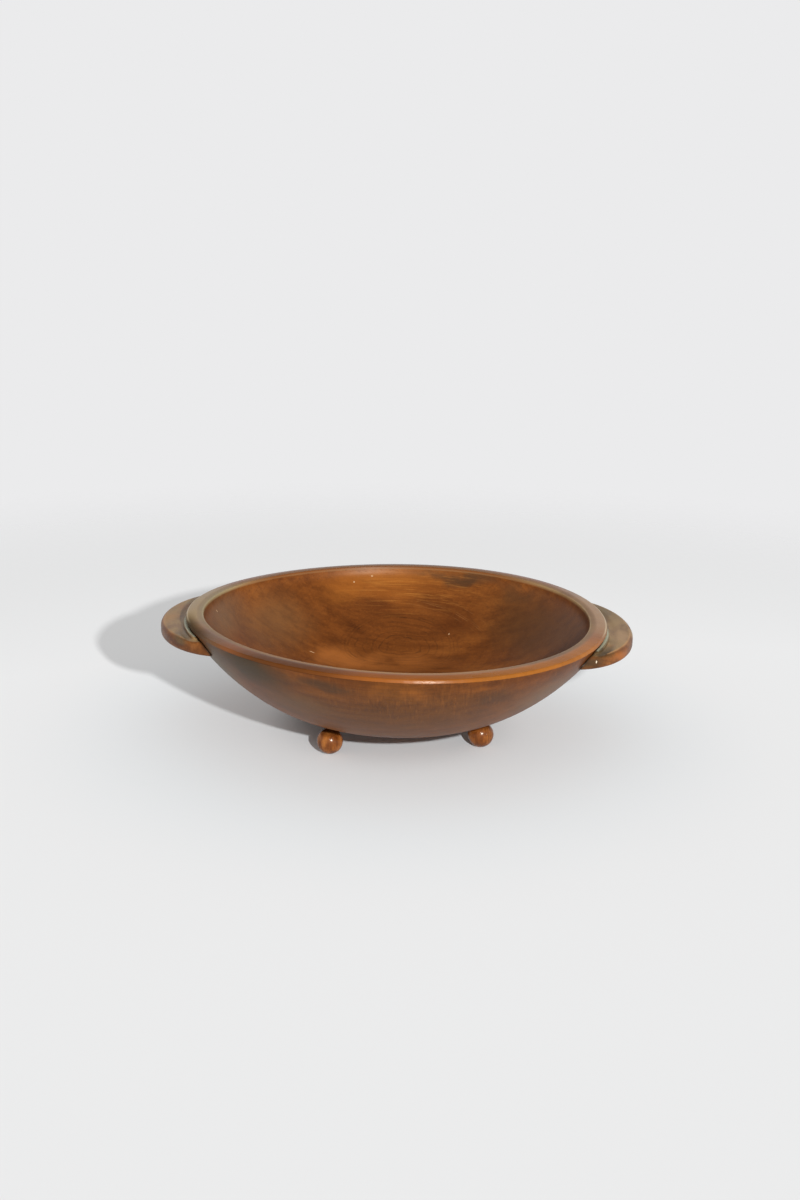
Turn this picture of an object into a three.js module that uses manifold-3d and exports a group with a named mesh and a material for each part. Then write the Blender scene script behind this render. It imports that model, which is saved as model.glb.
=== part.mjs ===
// A shallow turned wooden bowl with a pair of lug handles and ball feet.
// Millimetres, +Z up. The origin is on the ground under the middle of the bowl, and the handles lie along X.
import * as THREE from 'three';
import { mergeVertices } from 'three/addons/utils/BufferGeometryUtils.js';
import Module from 'manifold-3d';

const wasm = await Module();
wasm.setup();

// Bowl, as it was turned
const BOWL_DEPTH = 75.5;          // from the flat underneath to the top of the rim
const RIM_RADIUS = 159;           // axis to the outer edge of the rim
const RIM_WIDTH = 13;             // inner arris to the outer edge
const RIM_ROLL = 1.9;             // radius of the rim's rounded outer edge
const RIM_CREST = 0.6;            // the crest's place, as a share of the width from the outer edge
const RIM_FALL = 1;               // from the crest to the top of the rounded edge
const RIM_CROWN = 0.4;            // from the crest to the inner arris
const QUIRK = 1;                  // step in from the rim's edge to the body
const BASE_RADIUS = 56;           // flat face underneath
const WALL = 10.5;                // thickness of the side
const FLOOR = 13;                 // thickness at the middle
const FLANK_LEAN = 9;             // degrees from upright where the side meets the rim
const SHOULDER = 13.5;            // reach of the body curve's pull below the rim
const BELLY = 51;                 // reach of its pull outwards from the flat

// How the wood has moved since: longer along the grain, narrower and lifted across it
const GRAIN_ANGLE = -55.5;        // degrees from X
const OVAL = 0.022;
const SADDLE = 1.8;               // rise or fall at the rim

// Handles
const HANDLE_DROP = 7.6;          // rim top to handle top
const HANDLE_THICKNESS = 9.3;
const HANDLE_OVERHANG = 19.7;     // how far it stands out past the rim
const HANDLE_HALF_DEPTH = 54;     // half axis of its elliptical outline, outwards
const HANDLE_HALF_SPAN = 80;      // half axis of that outline, along the rim
const HANDLE_EDGE = 2.2;          // rounding of its edges
const COVE_RADIUS = 3.2;          // section of the thumb cove
const COVE_DEPTH = 1.5;           // below the handle's top
const COVE_OFFSET = 3;            // the bottom of the cove lies this far outside the rim
const ROOT_RISE = 2.2;            // the root against the bowl stands this far above the handle's top

// Feet
const FOOT_DIAMETER = 19.05;
const FOOT_CIRCLE_RADIUS = 79;
const FOOT_ANGLE = -34.4;         // degrees from X to the first foot
const FOOT_COUNT = 4;
const FOOT_WEAR = 0.4;            // depth worn flat where a ball stands
const SEAT_DEPTH = 0.5;           // least bite of a ball into the body

// Dowels
const HANDLE_DOWEL_DIAMETER = 4;
const HANDLE_DOWEL_SPACING = 60;
const HANDLE_DOWEL_COVER = 8;     // wood left beyond a dowel in the handle
const FOOT_DOWEL_DIAMETER = 6.35;
const FOOT_DOWEL_DEPTH = 8;       // in the ball
const BLIND_COVER = 4;            // wood left between a blind hole and the inside of the bowl

// Clearances
const GLUE_GAP = 0.3;             // between faces that meet
const END_GAP = 0.5;              // past the ends of a dowel

// Facets
const BOWL_SEGMENTS = 80;
const BODY_STEPS = 16;
const ROLL_STEPS = 5;
const DOME_STEPS = 3;
const OUTLINE_STEPS = 48;
const EDGE_STEPS = 3;
const COVE_STEPS = 24;
const BALL_SEGMENTS = 20;
const DOWEL_SEGMENTS = 16;

const grain = THREE.MathUtils.degToRad(GRAIN_ANGLE);
const footRadius = FOOT_DIAMETER / 2;
const footCentre = footRadius - FOOT_WEAR;

// Profile of the turned body, as radius and height above the flat underneath

const rollTop = BOWL_DEPTH - RIM_FALL;
const creaseHeight = rollTop - RIM_ROLL - QUIRK / 2;
const crease = new THREE.Vector2(RIM_RADIUS - QUIRK, creaseHeight);
const lean = THREE.MathUtils.degToRad(FLANK_LEAN);
const bodyCurve = new THREE.CubicBezierCurve(
  crease,
  new THREE.Vector2(crease.x - SHOULDER * Math.sin(lean), crease.y - SHOULDER * Math.cos(lean)),
  new THREE.Vector2(BASE_RADIUS + BELLY, 0),
  new THREE.Vector2(BASE_RADIUS, 0),
);

// Points of the body curve from the crease down, moved along the outward normal
function bodyPoints(offsetAt, steps = BODY_STEPS) {
  const points = [];
  for (let i = 0; i <= steps; i += 1) {
    const t = i / steps;
    const point = bodyCurve.getPoint(t);
    const tangent = bodyCurve.getTangent(t);
    const offset = offsetAt(t);
    points.push(new THREE.Vector2(point.x - tangent.y * offset, point.y + tangent.x * offset));
  }
  return points;
}

// Height and slope of the body's outside at a radius, above the flat underneath
function undersideAt(radius) {
  let low = 0;
  let high = 1;
  while (high - low > 1e-7) {
    const middle = (low + high) / 2;
    if (bodyCurve.getPoint(middle).x > radius) {
      low = middle;
    } else {
      high = middle;
    }
  }
  const tangent = bodyCurve.getTangent(low);
  return { height: bodyCurve.getPoint(low).y, slope: Math.atan2(-tangent.y, -tangent.x) };
}

// Radius of the body's outside at a height above the flat underneath
function flankAt(height) {
  let low = 0;
  let high = 1;
  while (high - low > 1e-7) {
    const middle = (low + high) / 2;
    if (bodyCurve.getPoint(middle).y > height) {
      low = middle;
    } else {
      high = middle;
    }
  }
  return bodyCurve.getPoint(low).x;
}

// Feet stand on a true circle, so each one meets the oval body at its own turned radius
function footPlace(index) {
  const angle = THREE.MathUtils.degToRad(FOOT_ANGLE + (index * 360) / FOOT_COUNT);
  return new THREE.Vector2(FOOT_CIRCLE_RADIUS * Math.cos(angle), FOOT_CIRCLE_RADIUS * Math.sin(angle));
}

function turnedRadius(place) {
  const along = place.x * Math.cos(grain) + place.y * Math.sin(grain);
  const across = place.y * Math.cos(grain) - place.x * Math.sin(grain);
  return Math.hypot(along / (1 + OVAL), across / (1 - OVAL));
}

const footPlaces = Array.from({ length: FOOT_COUNT }, (_, index) => footPlace(index));

// The bowl is carried at the height where its shallowest foot seat still bites
const baseHeight = Math.min(...footPlaces.map((place) => {
  const { height, slope } = undersideAt(turnedRadius(place));
  return footCentre + (footRadius - SEAT_DEPTH) / Math.cos(slope) - height;
}));
const rimTop = baseHeight + BOWL_DEPTH;

// Movement of the wood, applied to a turned shape's points
function moved(x, y, z) {
  const along = x * Math.cos(grain) + y * Math.sin(grain);
  const across = y * Math.cos(grain) - x * Math.sin(grain);
  const lift = THREE.MathUtils.clamp((z - baseHeight) / BOWL_DEPTH, 0, 1.2);
  const sag = (SADDLE * lift * (along * along - across * across)) / RIM_RADIUS ** 2;
  const u = along * (1 + OVAL);
  const v = across * (1 - OVAL);
  return new THREE.Vector3(
    u * Math.cos(grain) - v * Math.sin(grain),
    u * Math.sin(grain) + v * Math.cos(grain),
    z - sag,
  );
}

function moveGeometry(geometry) {
  const position = geometry.attributes.position;
  for (let i = 0; i < position.count; i += 1) {
    const point = moved(position.getX(i), position.getY(i), position.getZ(i));
    position.setXYZ(i, point.x, point.y, point.z);
  }
  return geometry;
}

// Closed solids for cutting and joining

function toSolid(geometry) {
  const bare = geometry.clone();
  bare.deleteAttribute('normal');
  bare.deleteAttribute('uv');
  const merged = mergeVertices(bare, 1e-4);
  const triangles = [];
  for (let i = 0; i < merged.index.count; i += 3) {
    const corners = [merged.index.getX(i), merged.index.getX(i + 1), merged.index.getX(i + 2)];
    if (new Set(corners).size === 3) {
      triangles.push(...corners);
    }
  }
  return new wasm.Manifold(new wasm.Mesh({
    numProp: 3,
    vertProperties: new Float32Array(merged.attributes.position.array),
    triVerts: new Uint32Array(triangles),
  }));
}

function toGeometry(solid) {
  const mesh = solid.getMesh();
  const geometry = new THREE.BufferGeometry();
  geometry.setAttribute('position', new THREE.BufferAttribute(new Float32Array(mesh.vertProperties), 3));
  geometry.setIndex(new THREE.BufferAttribute(new Uint32Array(mesh.triVerts), 1));
  geometry.computeVertexNormals();
  return geometry;
}

// A closed profile turned about Z
function turned(profile, segments) {
  return new THREE.LatheGeometry(profile, segments).rotateX(Math.PI / 2);
}

// A cylinder between two points
function rod(start, end, radius) {
  const length = start.distanceTo(end);
  const direction = new THREE.Vector3().subVectors(end, start).normalize();
  const geometry = new THREE.CylinderGeometry(radius, radius, length, DOWEL_SEGMENTS);
  geometry.applyQuaternion(new THREE.Quaternion().setFromUnitVectors(new THREE.Vector3(0, 1, 0), direction));
  return geometry.translate((start.x + end.x) / 2, (start.y + end.y) / 2, (start.z + end.z) / 2);
}

// The hole for such a rod, open by the clearances round it and past its ends
function rodHole({ start, end, radius }) {
  const stretch = new THREE.Vector3().subVectors(end, start).setLength(END_GAP);
  return rod(start.clone().sub(stretch), end.clone().add(stretch), radius + GLUE_GAP);
}

// Bowl blank: from the middle underneath, up the outside, over the rim and down the inside
function bowlProfile() {
  const outside = bodyPoints(() => 0).reverse();
  const rollCentre = new THREE.Vector2(RIM_RADIUS - RIM_ROLL, rollTop - RIM_ROLL);
  const rim = [];
  for (let i = 0; i <= ROLL_STEPS; i += 1) {
    const angle = (i / ROLL_STEPS) * (Math.PI / 2);
    rim.push(new THREE.Vector2(
      rollCentre.x + RIM_ROLL * Math.cos(angle),
      rollCentre.y + RIM_ROLL * Math.sin(angle),
    ));
  }
  const crest = new THREE.Vector2(RIM_RADIUS - RIM_WIDTH * RIM_CREST, BOWL_DEPTH);
  for (let i = DOME_STEPS - 1; i >= 0; i -= 1) {
    const share = i / DOME_STEPS;
    rim.push(new THREE.Vector2(
      THREE.MathUtils.lerp(crest.x, rollCentre.x, share),
      crest.y - RIM_FALL * share ** 2,
    ));
  }
  const arris = new THREE.Vector2(RIM_RADIUS - RIM_WIDTH, BOWL_DEPTH - RIM_CROWN);
  const inside = bodyPoints((t) => -THREE.MathUtils.lerp(WALL, FLOOR, t * t));
  const insideBelow = inside.filter((point) => point.y < arris.y - 2 && point.x < arris.x);
  return [
    new THREE.Vector2(0, 0),
    ...outside,
    ...rim,
    arris,
    ...insideBelow,
    new THREE.Vector2(0, FLOOR),
  ];
}

const bowlBlank = moveGeometry(turned(bowlProfile(), BOWL_SEGMENTS).translate(0, 0, baseHeight));

// Handle blank: an elliptical slab with a step up at the bowl, coved out for the thumb and coped to the body

const handleTop = rimTop - HANDLE_DROP;
const handleBottom = handleTop - HANDLE_THICKNESS;
const rootTop = handleTop + ROOT_RISE;
const coveRing = RIM_RADIUS + COVE_OFFSET;
const handleCentre = RIM_RADIUS + HANDLE_OVERHANG - HANDLE_HALF_DEPTH;

function outline(inset) {
  const shape = new THREE.Shape();
  shape.absellipse(handleCentre, 0, HANDLE_HALF_DEPTH - inset, HANDLE_HALF_SPAN - inset, 0, Math.PI * 2);
  return shape;
}

function handleBlank() {
  const slab = new THREE.ExtrudeGeometry(outline(HANDLE_EDGE), {
    depth: HANDLE_THICKNESS - 2 * HANDLE_EDGE,
    bevelThickness: HANDLE_EDGE,
    bevelSize: HANDLE_EDGE,
    bevelSegments: EDGE_STEPS,
    curveSegments: OUTLINE_STEPS,
  }).translate(0, 0, handleBottom + HANDLE_EDGE);
  const prism = new THREE.ExtrudeGeometry(outline(HANDLE_EDGE), {
    depth: rootTop - handleBottom - HANDLE_EDGE,
    bevelEnabled: false,
    curveSegments: OUTLINE_STEPS,
  }).translate(0, 0, handleBottom + HANDLE_EDGE);
  const step = turned([
    new THREE.Vector2(0, handleBottom),
    new THREE.Vector2(coveRing, handleBottom),
    new THREE.Vector2(coveRing, rimTop),
    new THREE.Vector2(0, rimTop),
  ], BOWL_SEGMENTS);
  const cove = new THREE.TorusGeometry(coveRing, COVE_RADIUS, COVE_STEPS, BOWL_SEGMENTS)
    .translate(0, 0, handleTop - COVE_DEPTH + COVE_RADIUS);
  const cope = turned([
    new THREE.Vector2(0, 0),
    ...bodyPoints(() => GLUE_GAP).reverse(),
    new THREE.Vector2(crease.x + GLUE_GAP, BOWL_DEPTH),
    new THREE.Vector2(0, BOWL_DEPTH),
  ], BOWL_SEGMENTS).translate(0, 0, baseHeight);
  return toSolid(slab)
    .add(toSolid(step).intersect(toSolid(prism)))
    .subtract(toSolid(cove))
    .subtract(toSolid(cope));
}

// Dowels run out along X from the bowl's wall, at mid thickness of the handle under the cove

const dowelRadius = HANDLE_DOWEL_DIAMETER / 2;
const dowelHeight = (handleBottom + handleTop - COVE_DEPTH) / 2;

function handleDowel(side, end) {
  const offset = (end * HANDLE_DOWEL_SPACING) / 2;
  const wallRadius = flankAt(dowelHeight - baseHeight);
  const inner = Math.sqrt((wallRadius - WALL + BLIND_COVER + END_GAP) ** 2 - offset ** 2);
  const reach = HANDLE_HALF_DEPTH * Math.sqrt(1 - (offset / HANDLE_HALF_SPAN) ** 2);
  const outer = handleCentre + reach - HANDLE_DOWEL_COVER;
  return {
    start: moved(side * inner, side * offset, dowelHeight),
    end: moved(side * outer, side * offset, dowelHeight),
    radius: dowelRadius,
  };
}

// Dowels of the feet run square to the body through the middle of each ball, and stop short of the inside
const footDowelStart = footRadius - FOOT_DOWEL_DEPTH;
const footDowelEnd = footRadius - SEAT_DEPTH + WALL - BLIND_COVER - END_GAP;

function footDowel(place) {
  const { slope } = undersideAt(turnedRadius(place));
  const inwards = -Math.sin(slope) / place.length();
  const direction = new THREE.Vector3(place.x * inwards, place.y * inwards, Math.cos(slope));
  const centre = new THREE.Vector3(place.x, place.y, footCentre);
  return {
    start: centre.clone().addScaledVector(direction, footDowelStart),
    end: centre.clone().addScaledVector(direction, footDowelEnd),
    radius: FOOT_DOWEL_DIAMETER / 2,
  };
}

function ball(radius, place) {
  return new THREE.SphereGeometry(radius, BALL_SEGMENTS, BALL_SEGMENTS / 2)
    .rotateX(Math.PI / 2)
    .translate(place.x, place.y, footCentre);
}

// The ground, for cutting the worn flats
function ground() {
  const size = 4 * RIM_RADIUS;
  return new THREE.BoxGeometry(size, size, FOOT_DIAMETER).translate(0, 0, -FOOT_DIAMETER / 2);
}

// Finish of each kind of piece
const finishes = {
  bowl: { color: 0x6e4226, roughness: 0.42 },
  handle: { color: 0x7a5236, roughness: 0.45 },
  foot: { color: 0x8c4f2a, roughness: 0.35 },
  dowel: { color: 0xc9a071, roughness: 0.8 },
};

function piece(name, geometry, finish) {
  const material = new THREE.MeshStandardMaterial({ ...finish, metalness: 0 });
  const mesh = new THREE.Mesh(geometry, material);
  mesh.name = name;
  return mesh;
}

const bowl = new THREE.Group();

const sides = [
  { name: 'left', side: -1 },
  { name: 'right', side: 1 },
];
const ends = [
  { name: 'front', end: -1 },
  { name: 'back', end: 1 },
];

const handleDowels = sides.map(({ name, side }) => ({
  name,
  side,
  dowels: ends.map((place) => ({ name: place.name, ...handleDowel(side, place.end * side) })),
}));

const feet = footPlaces.map((place, index) => ({ name: String(index + 1), place, dowel: footDowel(place) }));

// Bowl, drilled and seated for all that it carries
let body = toSolid(bowlBlank);
for (const { dowels } of handleDowels) {
  for (const dowel of dowels) {
    body = body.subtract(toSolid(rodHole(dowel)));
  }
}
for (const { place, dowel } of feet) {
  body = body.subtract(toSolid(ball(footRadius + GLUE_GAP, place))).subtract(toSolid(rodHole(dowel)));
}
bowl.add(piece('bowl', toGeometry(body), finishes.bowl));

// Handles and their dowels
const handleShape = toGeometry(handleBlank());
for (const { name, side, dowels } of handleDowels) {
  const turn = side > 0 ? 0 : Math.PI;
  let handle = toSolid(moveGeometry(handleShape.clone().rotateZ(turn)));
  for (const dowel of dowels) {
    handle = handle.subtract(toSolid(rodHole(dowel)));
    bowl.add(piece(`handle_dowel_${name}_${dowel.name}`, rod(dowel.start, dowel.end, dowel.radius), finishes.dowel));
  }
  bowl.add(piece(`handle_${name}`, toGeometry(handle), finishes.handle));
}

// Ball feet and their dowels
for (const { name, place, dowel } of feet) {
  const foot = toSolid(ball(footRadius, place)).subtract(toSolid(ground())).subtract(toSolid(rodHole(dowel)));
  bowl.add(piece(`foot_${name}`, toGeometry(foot), finishes.foot));
  bowl.add(piece(`foot_dowel_${name}`, rod(dowel.start, dowel.end, dowel.radius), finishes.dowel));
}

export default bowl;
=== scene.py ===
# Looks for a shallow turned wooden bowl with a pair of lug handles and ball feet.
# Metres and +Z up, in the frame of the solids. Shapes are worked out in millimetres and scaled at the end.
import math

import bpy
import numpy as np
from mathutils import Matrix, Vector


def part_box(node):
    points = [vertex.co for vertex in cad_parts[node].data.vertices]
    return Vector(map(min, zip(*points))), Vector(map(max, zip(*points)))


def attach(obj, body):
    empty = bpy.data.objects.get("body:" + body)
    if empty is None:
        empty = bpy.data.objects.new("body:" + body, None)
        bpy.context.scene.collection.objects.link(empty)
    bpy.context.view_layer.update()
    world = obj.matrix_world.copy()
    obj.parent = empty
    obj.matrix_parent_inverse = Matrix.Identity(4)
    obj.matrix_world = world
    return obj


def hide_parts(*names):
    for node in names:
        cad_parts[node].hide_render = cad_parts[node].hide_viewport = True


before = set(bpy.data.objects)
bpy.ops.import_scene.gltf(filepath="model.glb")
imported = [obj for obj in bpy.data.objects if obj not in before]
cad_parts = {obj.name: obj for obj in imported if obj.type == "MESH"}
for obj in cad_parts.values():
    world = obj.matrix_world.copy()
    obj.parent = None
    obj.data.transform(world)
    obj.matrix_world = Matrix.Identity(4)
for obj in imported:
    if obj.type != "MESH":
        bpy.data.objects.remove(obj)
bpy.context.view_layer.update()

MM = 0.001

# The bowl as it was turned, in millimetres, as in the solids
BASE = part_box("bowl")[0].z / MM  # height of the flat underneath
BOWL_DEPTH = 75.5
RIM_RADIUS = 159.0
RIM_WIDTH = 13.0
RIM_CREST = 0.6  # the crest's place, as a share of the width from the outer edge
RIM_CROWN = 0.4  # from the crest down to the inner arris
RIM_EDGE_DROP = 2.9  # from the crest down to the foot of the rim's outer edge
QUIRK = 1.0
BASE_RADIUS = 56.0
WALL = 10.5
FLOOR = 13.0
FLANK_LEAN = math.radians(9)
SHOULDER = 13.5
BELLY = 51.0
CREASE_HEIGHT = BOWL_DEPTH - RIM_EDGE_DROP - QUIRK / 2
RIM_TOP = BASE + BOWL_DEPTH

# The finer section of its rim, which only the looks have
RIM_INSET = 0.12  # of the outer edge, so that it stays inside the solids
CREST_INSET = 0.03
RIM_FALL = 0.95  # from the crest down to the top of the outer corner
FALL_CURVE = 1.35
CORNER_RADIUS = 1.0
FACET_RADIUS = 10.0  # the nearly flat facet that holds the highlight
FACET_START, FACET_END, CORNER_END = 15, 26, 79  # degrees up from level
CREASE_GAP = 0.35  # the body stops this far below the crease
CREASE_ABOVE_BODY = (-0.10, 0.20)
CREASE_BOTTOM = (-0.12, -0.22)
CREASE_BELOW_RIM = (-0.40, -0.12)
ARRIS_STEPS = [(0.30, -0.03), (0.08, -0.13), (-0.04, -0.35), (-0.11, -0.75)]
CROWN_END = 0.5  # outside the arris
CROWN_RISE = 0.05  # above it
INSIDE_CUT = (1.0, 5.0)  # the inside curve takes over this far in from the arris and below it

# How the wood has moved since
GRAIN = math.radians(-55.5)
OVAL = 0.022
SADDLE = 1.8
MOST_LIFT = 1.2

# Marks on the rim: where each starts and is full, in mm out from the inner arris
RIM_START = -0.3
ABOVE_CREASE = 0.1
WORN_LINE, WORN_LIP = 1.0, 0.55  # fully worn up to here, and this much beyond
WORN_FADE = (5.0, 3.0)
BAND = (2.8, 5.2)
OUTER_HALF = (4.5, 11.5)
CREST_GLINT = (RIM_WIDTH - 1.15, 0.45)

# Handles
HANDLE_TOP = RIM_TOP - 7.6
HANDLE_THICKNESS = 9.3
HANDLE_BOTTOM = HANDLE_TOP - HANDLE_THICKNESS
HANDLE_HALF_DEPTH = 54.0
HANDLE_HALF_SPAN = 80.0
HANDLE_CENTRE = RIM_RADIUS + 19.7 - HANDLE_HALF_DEPTH
HANDLE_EDGE = 2.2
HANDLE_NOSE = 4.2
NOSE_CUT = 0.4
COVE_RADIUS = 6.0
COVE_DEPTH = 0.9
COVE_RING = RIM_RADIUS + 3.6
LEDGE_RING = RIM_RADIUS + 1.7
LEDGE_INSET = 4.5
LEDGE_EDGE = 0.6
ROOT_TOP = HANDLE_TOP + 1.7
OUTLINE_INSET = 0.05
GLUE_GAP = 0.3
END_GAP = 0.5

# Widths in mm over which the handle's faces run into one another
EDGE_BLEND = 0.2
TOP_BLEND = 0.15
COVE_BLEND = 1.0
LEDGE_END_BLEND = 2.0
LEDGE_BLEND = 0.5
JOINT_BLEND = 0.25

# Marks on the handles, in mm: in from the outline, off the joint, and forward along the rim
# The pale line along the top outer edge is wear and a painted highlight
RIDGE_WEAR_AND_GLINT_LINE = (2.4, 0.6)
RIDGE_WEAR_AND_GLINT_HEIGHTS = (HANDLE_TOP - 0.6, HANDLE_TOP + 0.1)
RIDGE_WEAR_AND_GLINT_OFF_JOINT = (2.0, 8.0)
# Width of the dark joint and the painted shade beside the body
JOINT_SHADE_WIDTH = 1.2
# The pale strip along each ledge is a painted reflection
STRIP_START, STRIP_END = (10.0, 26.0), (68.0, 42.0)
STRIP_INSET, STRIP_FADE = 1.1, 0.7
STRIP_WIDTHS = {"left": 1.2, "right": 0.6}
FLAT_TOP = (2.1, 2.7)
FLAT_TOP_BELOW = 0.5

# Feet
FOOT_RADIUS = 9.525
FOOT_WEAR = 0.4
FOOT_CENTRE = FOOT_RADIUS - FOOT_WEAR
FOOT_CIRCLE = 79.0
FOOT_ANGLE = math.radians(-34.4)
FOOT_COUNT = 4
FOOT_ARC = (1.5, 88)  # degrees: past the edge of the flat, and up from level
FOOT_FLAT = [(0.55, 0.0), (0.93, 0.01)]  # share of the flat's radius, and height
# Painted shade over the top of each ball, under the bowl, between these heights
FOOT_SHADE_HEIGHTS = (5.5, 9.5)  # above the ball's centre

# Fineness of the meshes
BOWL_SEGMENTS = 288
BALL_SEGMENTS = 72
ROD_SEGMENTS = 24
CURVE_STEPS = 400
UNDERSIDE_STEPS, WELL_STEPS = 20, 24
FACET_STEPS, CORNER_STEPS, RISE_STEPS, FALL_STEPS = 8, 12, 12, 7
SEAT_STEPS, BALL_STEPS = 33, 52
OUTSIDE_STEP, OUTSIDE_PASSES = 1.7, 1
INSIDE_STEP, INSIDE_PASSES = 1.8, 3
HANDLE_GRID = 0.8
HANDLE_GRID_LOW = (118.0, -HANDLE_HALF_SPAN - 4, HANDLE_BOTTOM - 2.5)
HANDLE_GRID_HIGH = (HANDLE_CENTRE + HANDLE_HALF_DEPTH + 3, HANDLE_HALF_SPAN + 4, RIM_TOP + 1)
NET_PASSES = 3
NET_PULL = 0.9
NET_LEAST_SLOPE = 0.2
SLOPE_STEP = 0.02
SHARP_ANGLE = 40
FOOT_SHARP_ANGLE = 50


# Shapes

def between(value, start, full):
    """0 up to the start and 1 from full on, even in between; full may be the lower of the two."""
    return np.clip((value - start) / (full - start), 0, 1)


def bell(value, middle, width):
    return np.exp(-((value - middle) / width)**2)


def body_curve(t):
    """Points of the body's outside, from the crease under the rim down to the flat, and the way out at each."""
    t = np.asarray(t, float)[:, None]
    crease = np.array([RIM_RADIUS - QUIRK, CREASE_HEIGHT])
    pulls = [
        crease,
        crease - SHOULDER * np.array([math.sin(FLANK_LEAN), math.cos(FLANK_LEAN)]),
        np.array([BASE_RADIUS + BELLY, 0.0]),
        np.array([BASE_RADIUS, 0.0]),
    ]
    s = 1 - t
    points = s**3 * pulls[0] + 3 * s * s * t * pulls[1] + 3 * s * t * t * pulls[2] + t**3 * pulls[3]
    slopes = s * s * (pulls[1] - pulls[0]) + 2 * s * t * (pulls[2] - pulls[1]) + t * t * (pulls[3] - pulls[2])
    slopes /= np.hypot(slopes[:, 0], slopes[:, 1])[:, None]
    return points, np.stack([-slopes[:, 1], slopes[:, 0]], 1)


def moved(points):
    """The movement of the wood, applied to a turned shape's points."""
    c, s = math.cos(GRAIN), math.sin(GRAIN)
    along = points[:, 0] * c + points[:, 1] * s
    across = points[:, 1] * c - points[:, 0] * s
    lift = np.clip((points[:, 2] - BASE) / BOWL_DEPTH, 0, MOST_LIFT)
    height = points[:, 2] - SADDLE * lift * (along**2 - across**2) / RIM_RADIUS**2
    u = along * (1 + OVAL)
    v = across * (1 - OVAL)
    return np.stack([u * c - v * s, u * s + v * c, height], 1)


def resample(points, step):
    """Even steps along a line, with its ends kept."""
    lengths = np.hypot(*np.diff(points, axis=0).T)
    run = np.concatenate([[0], np.cumsum(lengths)])
    count = max(2, int(round(run[-1] / step)) + 1)
    wanted = np.linspace(0, run[-1], count)
    return np.stack([np.interp(wanted, run, points[:, 0]), np.interp(wanted, run, points[:, 1])], 1)


def softened(points, passes):
    """Rounds the kinks of a line, with its ends kept."""
    points = points.copy()
    for _ in range(passes):
        points[1:-1] = (points[:-2] + 2 * points[1:-1] + points[2:]) / 4
    return points


def arc(centre, radius, start, end, count):
    angles = np.radians(np.linspace(start, end, count))
    return np.stack([centre[0] + radius * np.cos(angles), centre[1] + radius * np.sin(angles)], 1)


def circle(count):
    angles = np.arange(count) * 2 * math.pi / count
    return np.stack([np.cos(angles), np.sin(angles)], 1)


def level_line(start, end, height, count):
    return np.stack([np.linspace(start, end, count), np.full(count, height)], 1)


def rim_section(crest, arris):
    """The rim's outer edge and its top, from the crease up and in to just outside the arris."""
    corner = arc((0, 0), CORNER_RADIUS, FACET_END, CORNER_END, CORNER_STEPS)
    facet = arc((0, 0), FACET_RADIUS, FACET_START, FACET_END, FACET_STEPS)
    facet += corner[0] - facet[-1]
    edge = np.concatenate([facet[:-1], corner])
    edge += np.array([RIM_RADIUS - RIM_INSET - edge[0, 0], BOWL_DEPTH - RIM_FALL - edge[-1, 1]])
    share = np.linspace(1, 0, RISE_STEPS)[1:]
    rise = np.stack([(edge[-1, 0] - crest[0]) * share, -(RIM_FALL - CREST_INSET) * share**FALL_CURVE], 1)
    share = np.linspace(0, 1, FALL_STEPS)[1:-1]
    fall = np.stack([(arris[0] + CROWN_END - crest[0]) * share, -(RIM_CROWN - CROWN_RISE) * share**2], 1)
    return edge, np.concatenate([crest + rise, crest + fall])


def bowl_profile():
    """Line from the middle underneath, up the outside, over the rim and down the inside, and its marks."""
    arris = np.array([RIM_RADIUS - RIM_WIDTH, BOWL_DEPTH - RIM_CROWN])
    crest = np.array([RIM_RADIUS - RIM_WIDTH * RIM_CREST, BOWL_DEPTH - CREST_INSET])
    t = np.linspace(0, 1, CURVE_STEPS)
    points, outward = body_curve(t)
    underside = level_line(0, BASE_RADIUS, 0, UNDERSIDE_STEPS)[1:-1]
    outside = points[::-1]
    outside = outside[outside[:, 1] < CREASE_HEIGHT - CREASE_GAP]
    edge, top = rim_section(crest, arris)
    crease = np.array([
        outside[-1] + CREASE_ABOVE_BODY,
        (outside[-1, 0] + CREASE_BOTTOM[0], edge[0, 1] + CREASE_BOTTOM[1]),
        edge[0] + CREASE_BELOW_RIM,
    ])
    lip = arris + ARRIS_STEPS
    inside = points - outward * (WALL + (FLOOR - WALL) * t * t)[:, None]
    inside = inside[(inside[:, 1] < arris[1] - INSIDE_CUT[1]) & (inside[:, 0] < arris[0] - INSIDE_CUT[0])]
    wall = softened(resample(np.concatenate([lip[-1:], inside]), INSIDE_STEP), INSIDE_PASSES)
    well = level_line(wall[-1, 0], 0, FLOOR, WELL_STEPS)[1:]
    outside = softened(resample(outside, OUTSIDE_STEP), OUTSIDE_PASSES)
    parts = [np.zeros((1, 2)), underside, outside, crease, edge, top, lip, wall[1:], well]
    # painted shade in the crease under the rim
    grime_and_shade = np.concatenate([np.full(len(part), float(part is crease)) for part in parts])
    line = np.concatenate(parts)
    across = line[:, 0] - arris[0]
    on_rim = (line[:, 1] > CREASE_HEIGHT + ABOVE_CREASE) & (across > RIM_START)
    worn = np.where(across < WORN_LINE, 1.0, WORN_LIP) * between(across, *WORN_FADE)
    marks = {
        "grime_and_shade": grime_and_shade,
        "edge": on_rim * worn,
        "band": on_rim * between(across, *BAND),
        "outer": on_rim * between(across, *OUTER_HALF),
        "crest": on_rim * bell(across, *CREST_GLINT),
    }
    return line, marks


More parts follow.
